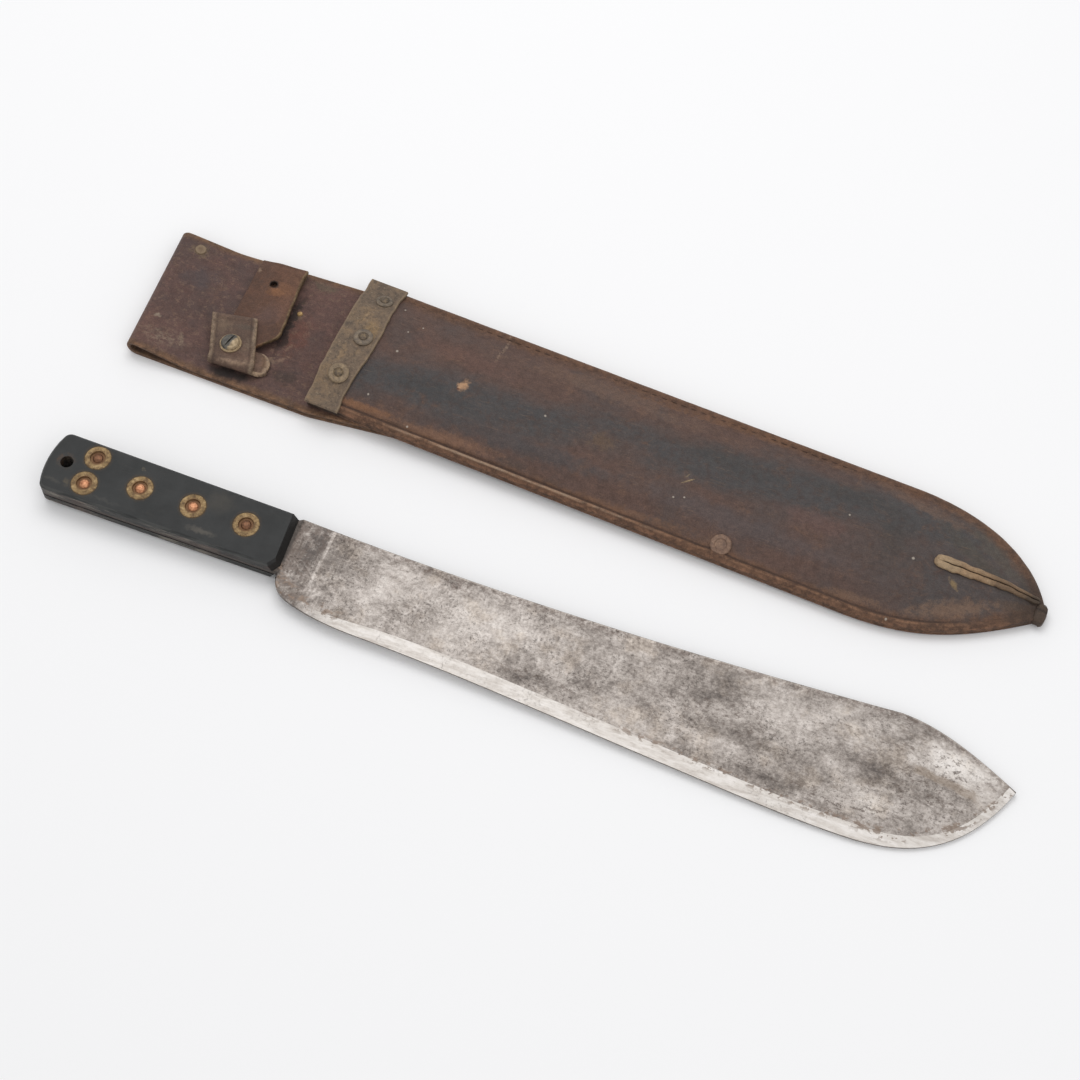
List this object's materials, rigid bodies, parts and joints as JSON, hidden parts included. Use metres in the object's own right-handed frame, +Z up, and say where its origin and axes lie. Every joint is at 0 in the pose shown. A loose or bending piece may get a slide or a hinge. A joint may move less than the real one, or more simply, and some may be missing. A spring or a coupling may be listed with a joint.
{
  "type": "machete with sheath",
  "caption": "Broad curved machete with a riveted two-scale handle, lying beside its leather sheath with belt loop, closing strap and stud tab.",
  "frame": {"origin": "middle of the floor rectangle under the machete and the sheath, on the floor", "axes": "+X from the butt of the handle towards the tips of blade and sheath, +Y from the machete towards the sheath, +Z up"},
  "size_m": [0.5112, 0.2172, 0.02],
  "materials": {
    "blade_steel": "worn forged steel, mottled and pitted, bright ground edge",
    "handle_scale": "satin charcoal composition",
    "copper_rivet": "worn copper",
    "brass_washer": "aged brass, dull",
    "sheath_leather": "dark old leather, edges orange brown",
    "welt_leather": "raw edge, orange brown",
    "loop_leather": "reddish brown, scuffed",
    "strap_leather": "reddish brown, scuffed",
    "seam_leather": "tan, rubbed",
    "band_leather": "olive beige, stained",
    "thread": "waxed thread, dirty",
    "dull_brass": "tarnished brass",
    "dark_steel": "dull dark metal"
  },
  "bodies": {
    "machete": {"blade": "blade_steel", "scale_top": "handle_scale", "scale_bottom": "handle_scale", "rivet_1": "copper_rivet", "rivet_2": "copper_rivet", "rivet_3": "copper_rivet", "rivet_4": "copper_rivet", "rivet_5": "copper_rivet", "washer_top_1": "brass_washer", "washer_top_2": "brass_washer", "washer_top_3": "brass_washer", "washer_top_4": "brass_washer", "washer_top_5": "brass_washer", "washer_bottom_1": "brass_washer", "washer_bottom_2": "brass_washer", "washer_bottom_3": "brass_washer", "washer_bottom_4": "brass_washer", "washer_bottom_5": "brass_washer"},
    "sheath": {"sheath_back": "sheath_leather", "sheath_front": "sheath_leather", "welt_near": "welt_leather", "welt_far": "welt_leather", "edge_stitching": "thread", "tip_seam": "seam_leather", "tip_cap": "sheath_leather", "mouth_band": "band_leather", "side_rivet": "dull_brass", "belt_loop": "loop_leather", "corner_rivet": "dull_brass", "loop_tack": "dull_brass", "strap_root": "strap_leather", "tab_root": "strap_leather", "mouth_rivet_1": "copper_rivet", "mouth_washer_1": "dull_brass", "loop_rivet_1": "copper_rivet", "mouth_rivet_2": "copper_rivet", "mouth_washer_2": "dull_brass", "loop_rivet_2": "copper_rivet", "mouth_rivet_3": "copper_rivet", "mouth_washer_3": "dull_brass", "loop_rivet_3": "copper_rivet"},
    "strap": {"strap": "strap_leather"},
    "tab": {"stud_tab": "strap_leather", "stud_collar": "dull_brass", "stud_head": "dark_steel"}
  },
  "joints": [
    {"name": "sheath_lift", "type": "slide", "parent": "machete", "child": "sheath", "axis": [0, 0, 1], "range_m": [0, 0.06]},
    {"name": "strap_lift", "type": "hinge", "parent": "sheath", "child": "strap", "pos_m": [-0.19283, 0.09566, 0.01024], "axis": [-1, 0, 0], "range_deg": [0, 20]},
    {"name": "tab_fold", "type": "hinge", "parent": "sheath", "child": "tab", "pos_m": [-0.19408, 0.03566, 0.01274], "axis": [1, 0, 0], "range_deg": [0, 120]}
  ],
  "couplings": [
    {"joint": "tab_fold", "follows": "strap_lift", "ratio": 6}
  ]
}
